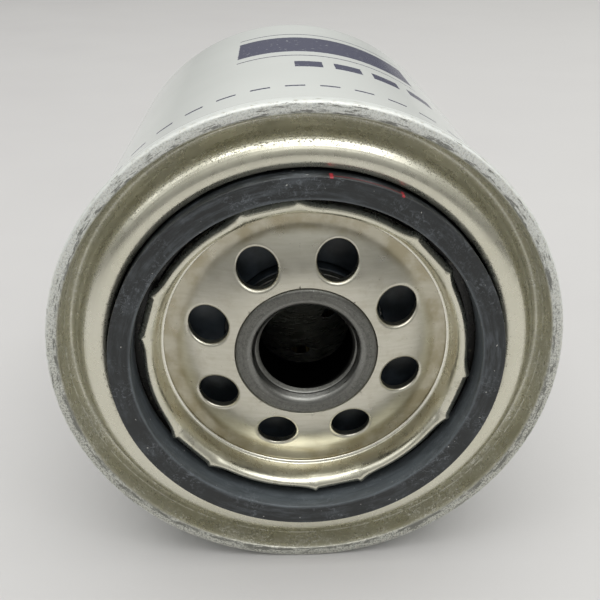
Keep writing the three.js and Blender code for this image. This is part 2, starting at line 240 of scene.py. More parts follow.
def between(tree, value, low, high, first=0.0, last=1.0):
    """Smooth step of a value from first at low to last at high."""
    inputs = {"Value": value, "From Min": low, "From Max": high, "To Min": first, "To Max": last}
    return add(tree, "MapRange", inputs, interpolation_type="SMOOTHSTEP")


def band_of(tree, value, low, high, soft):
    """1 inside a band of values and 0 outside, with soft edges."""
    rise = between(tree, value, low - soft, low + soft)
    return times(tree, rise, between(tree, value, high - soft, high + soft, 1, 0))


def dashes(tree, value, pitch, gap):
    """1 on dashes that repeat every pitch, 0 on the share gap of the pitch before each dash."""
    return math(tree, "GREATER_THAN", math(tree, "FRACT", math(tree, "DIVIDE", value, pitch)), gap)


def mix(tree, share, a, b):
    """Colour a where share is 0 and b where it is 1, each a hex text or another node's colour. 6, 7
    and 2 are the colour sockets."""
    a, b = (colour(c) if isinstance(c, str) else c for c in (a, b))
    return add(tree, "Mix", {0: share, 6: a, 7: b}, out=2, data_type="RGBA")


class Round:
    """The filter's own coordinates in a material: millimetres centred on the axis, the distance r
    from it, the height h, and noise stretched along the turning direction."""

    def __init__(self, name):
        self.material = bpy.data.materials.new(name)
        self.material.use_nodes = True
        t = self.tree = self.material.node_tree
        t.nodes.clear()
        position = add(t, "TexCoord", out=3)
        self.mm = add(t, "Mapping", {"Vector": position, "Location": (0, SEAM_Y, -AXIS_Z),
                                     "Scale": (1000, 1000, 1000)})
        split = add(t, "SeparateXYZ", {0: self.mm}).node
        flat = add(t, "VectorMath", {0: self.mm, 1: (1, 0, 1)}, operation="MULTIPLY")
        self.r = add(t, "VectorMath", {0: flat}, out=1, operation="LENGTH")
        self.h = math(t, "MULTIPLY", split.outputs[1], -1)
        self.up = split.outputs[2]
        self.side = split.outputs[0]
        self.unit = add(t, "VectorMath", {0: flat}, operation="NORMALIZE")
        self.angle = math(t, "ARCTAN2", self.up, self.side)

    def noise(self, scale, detail=3, roughness=0.55, vector=None, distortion=0.0):
        """Noise with scale waves a millimetre."""
        return add(self.tree, "TexNoise", {"Vector": vector or self.mm, "Scale": scale, "Detail": detail,
                                           "Roughness": roughness, "Distortion": distortion})

    def marks(self, across, along, detail=3, roughness=0.6, seed=0.0):
        """Noise with across waves a millimetre over the turning direction and along waves a turn."""
        t = self.tree
        unit = add(t, "SeparateXYZ", {0: self.unit}).node
        per_radian = along / 6.28
        spin = add(t, "CombineXYZ", {0: times(t, self.r, across), 1: times(t, self.h, across),
                                     2: times(t, unit.outputs[0], per_radian)})
        fourth = scaled(t, unit.outputs[2], per_radian, seed)
        return add(t, "TexNoise", {"Vector": spin, "W": fourth, "Scale": 1.0, "Detail": detail,
                                   "Roughness": roughness}, noise_dimensions="4D")

    def finish(self, base, rough, metal=0.0, height=None, depth=0.02, **plain):
        """The surface shader: colour, roughness and metal may be patterns, and the height pattern
        becomes a bump of depth millimetres. The numbers in plain are set on the shader's sockets, so
        coat_weight=0.25 sets Coat Weight."""
        t = self.tree
        inputs = {"Base Color": base, "Roughness": rough, "Metallic": metal}
        if height is not None:
            inputs["Normal"] = add(t, "Bump", {"Height": height, "Distance": depth * 0.001, "Strength": 1.0})
        for key, value in plain.items():
            inputs["IOR" if key == "ior" else key.replace("_", " ").title()] = value
        shader = add(t, "BsdfPrincipled", inputs)
        output = t.nodes.new("ShaderNodeOutputMaterial")
        t.links.new(shader, output.inputs[0])
        return self.material

print("node tools ready")

# %% [markdown]
# ### Baked enamel
# The can is painted with a thin pale baked enamel. It is glossy, slightly green-grey in the shade, and
# its surface has the faint waviness of sprayed paint. An even gloss of 0.25 gives the soft, wide
# reflections of baked enamel.

# %% Paint
def paint_layers(m):
    """Colour, roughness and height of the enamel, used on the can and on the seam's outer wall."""
    cloud = m.noise(0.05, 2)
    base = mix(m.tree, cloud, "#d3d6d2", "#dde0dc")
    gloss = 0.25
    orange_peel = m.noise(0.5, 2)
    return base, gloss, orange_peel


def paint_finish():
    m = Round("baked_enamel")
    t = m.tree
    base, rough, peel = paint_layers(m)
    # A generic dark panel between two lines, a row of blocks and a row of short bars stand where a
    # maker's print would be.
    arc = times(t, m.angle, CAN_R)
    edge = scaled(t, m.noise(3.0, 3), 0.5, -0.25)
    place_h, place_a = math(t, "ADD", m.h, edge), math(t, "ADD", arc, edge)
    panel_middle = 64.0
    off_middle = math(t, "PINGPONG", math(t, "ADD", place_h, panel_middle), 100)
    panel = largest(t, band_of(t, place_h, -74, -54, 0.15), band_of(t, off_middle, 14.6, 15.3, 0.1))
    panel = times(t, panel, band_of(t, place_a, 44, 84, 0.15))
    blocks = times(t, band_of(t, place_h, -42, -36, 0.12), dashes(t, place_a, 8.0, 0.3),
                   band_of(t, place_a, 42.4, 74, 0.15))
    bars = times(t, band_of(t, place_h, -18.2, -17.2, 0.1), dashes(t, place_a, 6.2, 0.42),
                 band_of(t, place_a, 30, 112, 0.1))
    ink = largest(t, panel, blocks, bars)
    scuff = between(t, m.noise(0.9, 3, 0.6), 0.62, 0.72, 1, 0.5)
    base = mix(t, times(t, ink, scuff), base, "#2b2f52")
    return m.finish(base, rough, 0.0, peel, 0.0015, coat_weight=0.25, coat_roughness=0.08, ior=1.5)

enamel = paint_finish()
print("made", enamel.name)

# %% [markdown]
# ### Lacquered tinplate
# The lid is pressed from tinplate with a clear olive lacquer. The sheet's own grain shows as a fine
# pepper of dark pits on the shoulder, painted stronger towards the top as painted shade. The seaming
# rollers polish narrow rings into the channel and leave scratches, and both are painted near-white
# as highlights. The channel and the ring's groove carry painted shade, and the paint on the seam's
# outer wall is worn through to metal at the crest.

# %% Lid finish
def lid_finish():
    m = Round("lacquered_tinplate")
    t = m.tree
    metal = mix(t, m.noise(0.07, 3), "#d3d0bb", "#e2e0d2")
    # grain of the sheet, strongest where the press stretched it; its dark pits are painted stronger towards
    # the top, as painted shade
    grain = m.noise(3.6, 3, 0.75)
    edge_of_shoulder = times(t, band_of(t, m.r, 36.0, 36.8, 0.4), 0.8)
    stretched = largest(t, edge_of_shoulder, band_of(t, m.r, 39.4, 41.2, 0.9))
    limit = scaled(t, stretched, -0.15, 0.68)
    pits = between(t, math(t, "SUBTRACT", grain, limit), 0.0, 0.07)
    metal = mix(t, times(t, pits, between(t, m.up, 0, 35, 0.5, 0.8)), metal, "#6f6c5e")
    # short scratches along the turning direction and flecks in the channel's outer part: real scratches,
    # painted near-white and not metal as glints
    scratch_glint = between(t, m.marks(2.0, 260, 5, 0.75, 3.1), 0.57, 0.62)
    fleck = between(t, m.noise(2.3, 4, 0.85), 0.55, 0.59)
    worn = band_of(t, m.r, 42.4, 44.5, 0.5)
    patch = between(t, m.noise(0.13, 3), 0.35, 0.6, 0.25, 1.0)
    scratch_glint = times(t, largest(t, scratch_glint, fleck), worn, patch)
    # the burnished line that the seaming chuck leaves near the foot of its wall, painted near-white as a
    # highlight
    burnish_highlight = times(t, band_of(t, m.h, -4.5, -4.25, 0.06), band_of(t, m.r, 43.6, 44.5, 0.1),
                    between(t, m.noise(0.6, 5, 0.7), 0.40, 0.52))
    bright = largest(t, scratch_glint, burnish_highlight)
    # painted shade in the bottom of the channel and up the foot of the chuck's wall: darker and less metal
    channel_shade = times(t, between(t, m.r, 40.2, 42.6), between(t, m.r, 44.7, 44.3),
                 between(t, m.noise(0.12, 3), 0.3, 0.7, 0.25, 0.5))
    metal = mix(t, channel_shade, metal, "#a9a897")
    metal = mix(t, bright, metal, "#f8f7f0")
    # painted shade: the groove's floor under the sealing ring is painted near-black and not metal
    groove = times(t, band_of(t, m.r, 29.35, 35.8, 0.1), between(t, m.h, -2.0, -3.0))
    metal = mix(t, groove, metal, "#1d1c19")
    # handling marks on the retaining ring, and a painted highlight along its sheared inner edge
    ring = band_of(t, m.r, 26.3, 30.9, 0.3)
    nick = times(t, ring, between(t, m.noise(0.55, 4, 0.6), 0.57, 0.68), 0.35)
    metal = mix(t, nick, metal, "#98937e")
    metal = mix(t, between(t, m.r, 26.55, 26.4), metal, "#f4f2e6")
    rough = between(t, m.noise(0.4, 3), 0.3, 0.7, 0.24, 0.33)
    rough = scaled(t, pits, 0.25, rough)
    height = scaled(t, grain, 0.25, times(t, pits, -0.9))
    height = scaled(t, bright, 0.9, height)
    # where paint is left on the seam: it is worn through along the crest and chipped on the wall
    paint, paint_rough, _ = paint_layers(m)
    wear = scaled(t, m.noise(1.3, 6, 0.85), 3.0, -1.5)
    outside = between(t, math(t, "ADD", m.r, wear), 46.15, 46.35)
    below = between(t, scaled(t, wear, 0.7, m.h), -1.1, -1.4)
    chip = times(t, between(t, m.marks(1.0, 150, 5, 0.8, 1.3), 0.59, 0.61), between(t, m.h, -3.4, -0.6))
    painted = times(t, largest(t, outside, below), between(t, m.r, 44.7, 44.9),
                    math(t, "SUBTRACT", 1.0, chip))
    # the bare crest: chalky white rests of paint, with dark streaks and pepper over them; on the lower half
    # the chalk is painted greyer and the pepper heavier, as painted shade
    crest = band_of(t, m.r, 44.4, 46.45, 0.25)
    # low rises from 0 at the top to 1 at the bottom and paints shade on the crest's lower half
    low = between(t, m.up, 30, -20)
    chalk = times(t, crest, between(t, m.noise(3.1, 4, 0.8), 0.40, 0.50, 0.55, 1.0))
    chalk_colour = mix(t, low, "#dcdfdc", "#c3c4bd")
    metal = mix(t, times(t, chalk, 0.9), metal, chalk_colour)
    crest_inside = band_of(t, m.r, 44.35, 45.1, 0.2)
    streaks = scaled(t, crest_inside, 0.07, m.marks(1.6, 70, 5, 0.8, 5.5))
    streaks = between(t, streaks, 0.55, 0.60)
    pepper = times(t, between(t, m.noise(2.6, 4, 0.8), 0.50, 0.56), scaled(t, low, 0.6, 0.4))
    smut_and_shade = times(t, crest, largest(t, streaks, pepper), 0.8)
    metal = mix(t, smut_and_shade, metal, "#55554f")
    base = mix(t, painted, metal, paint)
    rough = add(t, "Mix", {0: painted, 2: rough, 3: paint_rough}, data_type="FLOAT")
    rough = scaled(t, crest, 0.16, rough)
    # paint, chalk, the painted glints and the painted shade in the groove and channel aren't metal
    covered = largest(t, times(t, largest(t, chalk, bright), 0.75), times(t, largest(t, groove, channel_shade), 0.8))
    metallic = math(t, "SUBTRACT", 1.0, largest(t, painted, covered))
    return m.finish(base, rough, metallic, height, 0.02)

tinplate = lid_finish()
print("made", tinplate.name)

# %% [markdown]
# ### Rubber, plate steel and the machined hub
# The sealing ring is black nitrile rubber. Its ground faces carry a chalky bloom in streaks round
# the ring. The tapping plate is thick cold-rolled steel with a satin warm-grey tin coat, and the hub is
# turned from dark phosphated steel, so its face keeps the lathe's fine rings.

# %% Rubber and steel
def gasket_finish():
    m = Round("nitrile_rubber")
    t = m.tree
    streak = between(t, m.marks(0.9, 26, 6, 0.7), 0.42, 0.72)
    smear = between(t, m.noise(0.10, 4, 0.65), 0.35, 0.70)
    bloom = times(t, streak, smear)
    base = mix(t, bloom, "#1f2223", "#5c6267")
    # painted sheen: the ring's inner wall is painted lighter grey all round
    inner_wall_sheen = times(t, between(t, m.r, 31.3, 31.8, 0.75, 0.0),
                       between(t, m.marks(1.2, 40, 4), 0.3, 0.7, 0.5, 1))
    base = mix(t, inner_wall_sheen, base, "#646b70")
    scuff = times(t, between(t, m.noise(1.1, 6, 0.8, distortion=1.2), 0.52, 0.60),
                  between(t, m.noise(0.14, 3), 0.42, 0.62), 0.45)
    base = mix(t, scuff, base, "#767c82")
    dust = between(t, m.noise(1.3, 2, 0.5), 0.74, 0.76)
    base = mix(t, times(t, dust, 0.7), base, "#c9c9c4")
    # an inspector's red line on the outer wall, with a tick at each end
    first, last = np.radians(64.2), np.radians(84.0)
    wall = times(t, between(t, m.r, 34.9, 35.05), between(t, m.h, 0.7, 0.9))
    line = times(t, band_of(t, m.angle, first, last, 0.004), band_of(t, m.h, 1.9, 2.3, 0.1), 0.35)
    first_tick = band_of(t, m.angle, first - 0.007, first + 0.007, 0.003)
    last_tick = band_of(t, m.angle, last - 0.008, last + 0.008, 0.003)
    red = times(t, wall, largest(t, line, first_tick, last_tick))
    base = mix(t, red, base, "#a02430")
    rough = between(t, bloom, 0.0, 0.6, 0.38, 0.62)
    height = scaled(t, m.marks(1.6, 50, 5, 0.65, 2.0), 0.7, m.noise(2.8, 3))
    return m.finish(base, rough, 0.0, height, 0.03, ior=1.5)


def plate_finish():
    m = Round("satin_plate_steel")
    t = m.tree
    grain = add(t, "Mapping", {"Vector": m.mm, "Scale": (0.22, 1.0, 1.9), "Rotation": (0, 0.35, 0)})
    rolled = m.noise(0.9, 5, 0.6, grain)
    base = mix(t, between(t, rolled, 0.2, 0.8), "#c9c6b6", "#d5d2c5")
    # a darker brown band round the rim from r 23 to 27: part real stain, part painted shade under the lid's
    # retaining ring
    stain_and_shade = times(t, band_of(t, m.r, 23.0, 27.0, 0.8), between(t, m.noise(0.22, 4), 0.35, 0.65, 0.35, 0.9))
    base = mix(t, stain_and_shade, base, "#a59c82")
    haze = between(t, m.noise(0.35, 4, 0.6), 0.52, 0.70, 0, 0.35)
    base = mix(t, haze, base, "#b9b3a0")
    speck = between(t, m.noise(1.3, 5, 0.75), 0.66, 0.70)
    base = mix(t, times(t, speck, 0.6), base, "#6e6a5c")
    rough = between(t, m.noise(0.3, 4), 0.3, 0.7, 0.27, 0.35)
    height = scaled(t, rolled, 0.25, m.noise(2.4, 3))
    return m.finish(base, rough, 1.0, height, 0.0035)


def hub_finish():
    m = Round("phosphated_hub_steel")
    t = m.tree
    rings = m.marks(4.5, 14, 4, 0.6)
    base = mix(t, between(t, rings, 0.3, 0.7), "#6c6c67", "#7b7b76")
    smear = between(t, m.noise(2.2, 4, 0.75), 0.45, 0.65)
    base = mix(t, times(t, smear, 0.6), base, "#545451")
    spark = between(t, m.noise(3.0, 4, 0.8, distortion=0.4), 0.60, 0.66)
    base = mix(t, times(t, spark, 0.5), base, "#b9bab6")
    # a painted highlight: a lighter band on the flare at the mouth of the bore
    flare = band_of(t, m.r, 9.3, 10.9, 0.25)
    base = mix(t, times(t, flare, 0.35), base, "#a1a19d")
    # painted shade: the bore is painted black and made rougher below its first threads
    bore_shade = times(t, between(t, m.h, -4.2, -5.6), between(t, m.r, 9.9, 9.6))
    base = mix(t, bore_shade, base, "#040404")
    rough = between(t, m.marks(2.5, 20, 3, 0.6, 4.0), 0.3, 0.7, 0.38, 0.54)
    rough = scaled(t, bore_shade, 0.4, scaled(t, flare, -0.12, rough))
    height = scaled(t, rings, 0.4, times(t, m.noise(3.4, 3), 0.9))
    return m.finish(base, rough, 1.0, height, 0.012)


def valve_finish():
    m = Round("silicone_rubber")
    t = m.tree
    film = between(t, m.noise(0.16, 4), 0.35, 0.7)
    base = mix(t, film, "#20262b", "#434c55")
    rough = between(t, m.marks(1.0, 20, 4), 0.3, 0.7, 0.30, 0.48)
    return m.finish(base, rough, 0.0, m.noise(1.6, 4), 0.02, ior=1.5)

rubber, plate_steel = gasket_finish(), plate_finish()
hub_steel, valve_rubber = hub_finish(), valve_finish()
print("made", rubber.name, plate_steel.name, hub_steel.name, valve_rubber.name)

# %% [markdown]
# ### Inside the can
# The element is built from bare tinplate caps, a rolled steel tube, cream filter paper set in yellow-grey
# plastisol, and oil-tempered spring wire. Nobody sees them until the can is cut open.

# %% Inner finishes
def inner_steel_finish():
    m = Round("bare_tinplate")
    t = m.tree
    spangle = add(t, "TexVoronoi", {"Vector": m.mm, "Scale": 0.45}, out=1)
    shade = add(t, "SeparateColor", {0: spangle})
    base = mix(t, shade, "#a9aaa6", "#c4c5c0")
    rough = between(t, m.marks(2.0, 30, 4), 0.3, 0.7, 0.24, 0.40)
    return m.finish(base, rough, 1.0, m.noise(2.2, 4), 0.01)


def spring_finish():
    m = Round("oil_tempered_wire")
    t = m.tree
    drawn = m.noise(1.8, 4)
    base = mix(t, drawn, "#55524d", "#837f78")
    return m.finish(base, between(t, m.noise(3.5, 4), 0.3, 0.7, 0.28, 0.46), 1.0, drawn, 0.02)


def paper_finish():
    m = Round("filter_paper")
    t = m.tree
    fibre = m.noise(1.4, 6, 0.75, distortion=0.6)
    base = mix(t, between(t, fibre, 0.3, 0.7), "#c9b98c", "#dfd3ad")
    oil = between(t, m.noise(0.06, 3), 0.5, 0.65, 0, 0.35)
    base = mix(t, oil, base, "#a58d58")
    emboss = math(t, "SINE", times(t, m.h, 1.9))
    height = scaled(t, emboss, 0.8, fibre)
    return m.finish(base, 0.85, 0.0, height, 0.05, sheen_weight=0.15)


def adhesive_finish():
    m = Round("plastisol")
    t = m.tree
    cloud = m.noise(0.3, 4)
    base = mix(t, cloud, "#b5ac82", "#cfc8a4")
    rough = between(t, m.noise(1.0, 4), 0.3, 0.7, 0.35, 0.55)
    return m.finish(base, rough, 0.0, m.noise(0.7, 4), 0.08, ior=1.5)

inner_steel, wire_steel = inner_steel_finish(), spring_finish()
paper, adhesive = paper_finish(), adhesive_finish()
print("made", inner_steel.name, wire_steel.name, paper.name, adhesive.name)

# %% [markdown]
# ## The can
# The can is deep-drawn from one disc of sheet, so its closed end is a shallow cap that runs into the
# wall through a generous corner. Its open edge is folded out and rolled into the lid's hook. The line
# goes over the outside from the middle of the dome, round the fold and back along the inside.

# %% Outer can
DOME_R, DOME_H, DOME_RISE = 37.72, -107.9, 3.013    # the cap's edge, its tip and its depth
CORNER_R, CORNER_H = 9.0, -96.0                     # the corner's radius and its centre's height
FOLD_R = 45.8                                       # the rolled fold inside the seam

def can_line():
    """Dome h = tip + depth (r / edge)^2, a corner arc, the straight wall and the fold; the inside is
    the same line one sheet thickness inwards."""
    r = np.linspace(0, DOME_R, 40)
    dome = np.stack([r, DOME_H + DOME_RISE * (r / DOME_R) ** 2], 1)
    a = np.radians(np.linspace(-80.9, 0, 28))[1:]
    centre, arc = np.array([CAN_R - CORNER_R, CORNER_H]), np.stack([np.cos(a), np.sin(a)], 1)
    corner, inner_corner = centre + CORNER_R * arc, centre + (CORNER_R - SHEET) * arc
    inside_r = CAN_R - SHEET
    fold = rounded([[CAN_R, -60], [CAN_R, -2.65], [FOLD_R, -2.4], [FOLD_R, -0.75], [inside_r, -0.75],
                    [inside_r, -60]], [0, .2, .2, .3, .3, 0], closed=False)
    wall = spaced(np.concatenate([corner[-1:], fold, inner_corner[-1:]]), 1.5, closed=False)
    inside = dome + [0, SHEET]
    return np.concatenate([dome, corner, wall[1:-1], inner_corner[::-1], inside[::-1]])

turned("can_shell", can_line(), enamel, "housing", 320, nodes=["outer_can"], slot="can_paint")

# %% [markdown]
# ## The lid
# The lid's line is the filter's face: over the seam, down the seaming chuck's wall, through the
# channel, up the broad shoulder, into the ring's groove and over the retaining ring. A tool with six
# blunt jaws then spreads the retaining ring's crest, and each jaw leaves a flat facet that ends in
# two small torn kinks. Those facets grip the sealing ring.

# %% Seaming lid
CRIMPS = np.radians(42.4 + 60 * np.arange(6))
CRIMP_HALF = np.radians([8.6, 9.3, 8.2, 9.0, 8.8, 9.4])

def lid_line():
    """The lid's face as [r, h, rounding] from the seam's outer wall to the retaining ring's edge, one
    stretch a row, and the same line one sheet thickness behind it."""
    p = np.array([
        [45.6, -3.6, .1], [46.2, -3.6, 1], [46.5, -3.3, 1], [46.5, -.75, .35],                # outer wall
        [46.3, -.2, 1], [45.75, 0, 1], [44.95, 0, 1], [44.4, -.2, 1], [44.2, -.75, .35],      # crest
        [44.0, -4.4, .45], [43.6, -5.25, 1], [42.85, -5.7, 1], [42.1, -5.1, 1],               # channel
        [41.7, -3.7, 2], [40.95, -1.95, 2], [39.95, -.7, 2], [38.6, .1, 2], [37.2, .3, 2],    # shoulder
        [36.1, .1, 1], [35.55, -.4, 1], [35.5, -3.7, .3], [29.5, -3.7, .3],                   # groove
        [29.5, -1.4, .5], [29.15, -.55, 1], [28.4, -.2, 1], [27.75, -.6, 1], [27.3, -1.6, 1],
        [26.95, -4.3, 1], [26.75, -5.05, 1], [26.2, -5.12, .1],                       # retaining ring
    ])
    face = spaced(rounded(p[:, :2], p[:, 2], 4, closed=False), 1.4, closed=False)
    return sheet_line(face, SHEET)


def crimp(r, h, a):
    """Each jaw pushes the ring's crest out. The push, in mm over angle / half width, is a straight
    chord between the kinks, peaks at a kink and falls away outside it. The crest stands up at the
    kinks and is pressed down between them."""
    off = (a[..., None] - CRIMPS + np.pi) % TURN - np.pi
    nearest = np.argmin(np.abs(off), axis=-1)
    off = np.take_along_axis(off, nearest[..., None], -1)[..., 0]
    share = np.abs(off) / CRIMP_HALF[nearest]
    push = np.interp(share, [0, .3, .6, .84, .90, .95, 1.0, 1.05, 1.15, 1.28, 1.55],
                     [.60, .63, .72, .86, .91, .96, 1.0, .93, .72, .46, .12])
    push = np.where(share > 1.55, .12 * (1 - ramp(share, 1.55, 1.9)), push)
    flat = 1 - ramp(share, 0.88, 0.97)
    kink = np.interp(share, [.80, .90, .96, 1.01, 1.08, 1.18], [0, .4, 1, 1, .4, 0])
    upper = ramp(h, -3.3, -1.5) * ramp(r, 26.95, 28.5) * (r < 30)
    return r + upper * push, h + upper * (0.14 * kink - 0.30 * flat * ramp(r, 28.0, 28.9))


def crimp_angles():
    """Angles for the sweep: even steps, with a close group of steps at both kinks of each crimp."""
    even = np.arange(160) / 160 * TURN
    kinks = (CRIMPS[:, None] + CRIMP_HALF[:, None] * [-1, 1]).ravel()[:, None]
    close = kinks + np.radians(np.linspace(-2.4, 2.4, 11))
    angles = np.sort(np.concatenate([even, close.ravel()]) % TURN)
    return angles[np.diff(angles, prepend=-1) > 1e-4]

turned("lid", lid_line(), tinplate, "housing", change=crimp, angles=crimp_angles(),
       nodes=["seaming_lid"], slot="tinplate")

# %% [markdown]
# ## The sealing ring
# The ring is cut from a moulded rubber tube and ground flat, so its section is nearly square with a
# small rounded edge. It isn't perfectly even: it leans and swells by a tenth of a millimetre.

# %% Sealing ring
def ring_line():
    """The ring's section, 4 mm wide, from the groove's floor to its sealing face."""
    corners = [[31.2, -3.4], [35.2, -3.4], [35.2, 2.9], [31.2, 2.9]]
    return spaced(rounded(corners, [.3, .3, .3, .42], 8), 0.5)


def uneven(r, h, a):
    """Adds slow waves of a few hundredths of a millimetre to the ring's free half."""
    free = ramp(h, -2.5, 0.5)
    swell = 0.05 * np.sin(2 * a + 0.6) + 0.03 * np.sin(5 * a + 2.0)
    dip = 0.05 * (1 + np.sin(3 * a + 1.0)) / 2
    return r + free * swell, h - free * dip

turned("sealing_ring", ring_line(), rubber, "housing", 360, change=uneven,
       nodes=["sealing_gasket"], slot="gasket_rubber")

# %% [markdown]
# ## The tapping plate
# The plate is pressed to a shallow cone round the hub and punched with eight inlet holes. The punch
# leaves a rolled lip that catches the light as a thin bright ring. The surface is made of eight equal
# fields, each one running from the field's edge to its hole, through the hole and back underneath.

# %% Tapping plate
PLATE_R, PLATE_BORE, PLATE_THICK = 40.5, 13.1, 2.2
HOLE_CIRCLE, HOLE_R, HOLE_COUNT = 18.55, 3.63, 8
RIM_H, DISH_RISE, DISH_FROM, DISH_TO = -5.6, 3.25, 13.35, 23.98   # rim height, and the dish on it
FADE = 0.12                                                       # how softly the dish meets the rim

def holed_field(outline, radius, lip, depth, lift, steps=12, arc_steps=6):
    """Rows of points from an outline to a round hole at the origin, over the hole's rounded lip,
    down its wall and back out on the other side. A row is hole edge + (outline - hole edge) f^1.6.
    lift turns plan points and their depth below the face into scene points."""
    direction = outline / np.linalg.norm(outline, axis=1, keepdims=True)
    t = np.radians(np.linspace(0, 90, arc_steps))[:, None, None]
    lip_plan = direction * (radius + lip * (1 - np.sin(t)))
    lip_depth = np.broadcast_to(lip * (1 - np.cos(t)), (arc_steps, 1, 1))
    share = np.linspace(1, 0, steps)[:-1, None, None] ** 1.6
    face_plan = lip_plan[0] + (outline - lip_plan[0]) * share
    face_depth = np.zeros((steps - 1, 1, 1))
    plan = np.concatenate([face_plan, lip_plan])
    down = np.concatenate([face_depth, lip_depth])
    plan, down = np.concatenate([plan, plan[::-1]]), np.concatenate([down, depth - down[::-1]])
    return lift(plan, np.broadcast_to(down[..., 0], plan.shape[:2]))


def field_faces(rows, columns, open_columns):
    """The field's cells, and those that join its two outer rows except along its shared sides."""
    inner = grid_faces(rows, columns, False)
    rim = grid_faces(rows, columns, True)[(rows - 1) * columns:]
    return np.concatenate([inner, rim[~open_columns]])


def plate_height(r):
    """A shallow dish that steepens outwards and fades into the flat rim: with x = (r - from) / (to -
    from), the dish is g = rise (1 - x^1.6) and h = rim + k ln(1 + exp(g / k)), where k is FADE."""
    x = np.maximum(r - DISH_FROM, 0) / (DISH_TO - DISH_FROM)
    return RIM_H + FADE * np.logaddexp(0, DISH_RISE * (1 - x ** 1.6) / FADE)


def plate_fields():
    """Eight equal fields. A field's outline runs along the rim, in along one side, back along the
    bore and out along the other side; the two sides are shared with its neighbours."""
    across, outward = 30, 26
    half = TURN / HOLE_COUNT / 2
    ahead = np.linspace(-half, half, across, endpoint=False)
    along = np.linspace(0, 1, outward, endpoint=False)
    rim, bore = np.full(across, PLATE_R), np.full(across, PLATE_BORE)
    width = PLATE_R - PLATE_BORE
    radii = np.concatenate([rim, PLATE_R - width * along, bore, PLATE_BORE + width * along])
    angles = np.concatenate([ahead, np.full(outward, half), -ahead, np.full(outward, -half)])
    shared = np.repeat([False, True, False, True], [across, outward, across, outward])
    outline = np.stack([radii * np.cos(angles) - HOLE_CIRCLE, radii * np.sin(angles)], 1)

    def lift(plan, down, turn):
        x, y = plan[..., 0] + HOLE_CIRCLE, plan[..., 1]
        h = plate_height(np.hypot(x, y)) - down
        return to_scene(x * np.cos(turn) - y * np.sin(turn), x * np.sin(turn) + y * np.cos(turn), h)

    turns = np.radians(27.7) + np.arange(HOLE_COUNT) * TURN / HOLE_COUNT
    fields = [holed_field(outline, HOLE_R, 0.7, PLATE_THICK, lambda p, d, turn=turn: lift(p, d, turn), 15, 7)
              for turn in turns]
    rows, columns = fields[0].shape[:2]
    faces = field_faces(rows, columns, shared)
    return np.stack(fields), np.concatenate([faces + k * rows * columns for k in range(HOLE_COUNT)])

points, faces = plate_fields()
solid("inlet_plate", points, faces, plate_steel, "housing", nodes=["tapping_plate"], slot="plate_steel")

# %% [markdown]
# ## The threaded hub
# The hub is turned from bar and pressed into the plate. A 3/4-16 thread has 60 degree flanks and rises
# 1.5875 mm a turn, so the bore's radius is a triangular wave of h / pitch - angle / turn.

# %% Hub and thread
PITCH, MINOR_R, DEPTH = 1.5875, 8.7, 0.83     # of the thread
HUB_BORE = 9.0                                # the plain line that the thread is cut into
HUB_TOP, HUB_BOTTOM = -3.9, -13.9             # where the thread runs out

def hub_line():
    """The hub from its chamfer over the face and the collar behind the plate, and up the bore."""
    p = np.array([[9.2, -3.9, .1], [9.55, -3.3, .4], [10.05, -2.45, .4], [10.9, -2.0, .5],
                  [12.5, -2.0, .3], [13.0, -2.35, .3], [13.0, -5.5, .1], [14.8, -5.55, .15],
                  [14.8, -7.55, .3], [12.2, -7.55, .1], [12.2, -14.4, .2], [9.6, -14.4, .3],
                  [9.0, -13.9, .1]])
    outside = rounded(p[:, :2], p[:, 2], 6, closed=False)
    bore = np.stack([np.full(150, HUB_BORE), np.linspace(HUB_BOTTOM, HUB_TOP, 150)], 1)
    return np.concatenate([spaced(outside, 0.8, closed=False), bore[1:-1]])


def thread(r, h, a):
    """Cuts the bore: r = minor + depth w, where w is a triangular wave with flattened crests and
    roots that climbs one pitch a turn. It runs out into the chamfers at both ends."""
    phase = (h / PITCH - a / TURN) % 1.0
    wave = np.clip(np.abs(2 * phase - 1) * 1.25 - 0.125, 0, 1)
    cut = MINOR_R + DEPTH * wave
    bore = (r < 9.21) & (h < HUB_TOP + 0.05) & (h > HUB_BOTTOM - 0.05)
    chamfer = MINOR_R + 0.85 * ramp(h, -4.75, HUB_TOP)
    return np.where(bore, np.maximum(cut, chamfer), r), h

turned("hub", hub_line(), hub_steel, "housing", 288, change=thread, nodes=["threaded_hub"], slot="hub_steel")

# %% [markdown]
# ## The anti-drain-back valve
# A thick rubber collar is gripped behind the hub, and a thin skirt outside it lies against the back of
# the plate. Through the inlet holes only the skirt's dull blue-black surface is seen.

# %% Valve collar and skirt
collar_line = spaced(rounded([[12.5, -14.2], [14.9, -14.2], [14.9, -7.85], [12.5, -7.85]], 0.5), 0.8)
turned("valve_collar", collar_line, valve_rubber, "housing", 160,
       nodes=["antidrainback_collar"], slot="valve_rubber")
skirt_line = rounded([[15.2, -10.05], [15.2, -11.35], [22, -11.15], [28.0, -10.6], [31.0, -9.4],
                      [31.0, -8.12], [28.4, -8.12], [26.9, -9.15], [21, -9.75]],
                     [.3, .3, 3, 1.5, .4, .4, .8, 1.5, 3], 7)
turned("valve_skirt", spaced(skirt_line, 0.8), valve_rubber, "valve_lip", 240,
       nodes=["antidrainback_lip"], slot="valve_rubber")

# %% [markdown]
# ## The filter element
# The paper is folded into 44 pleats, wrapped round a perforated tube and potted into two pressed
# caps. A steel clip closes the pack where the paper's two ends meet.

# %% Caps, potting and tube
PLEATS = 44

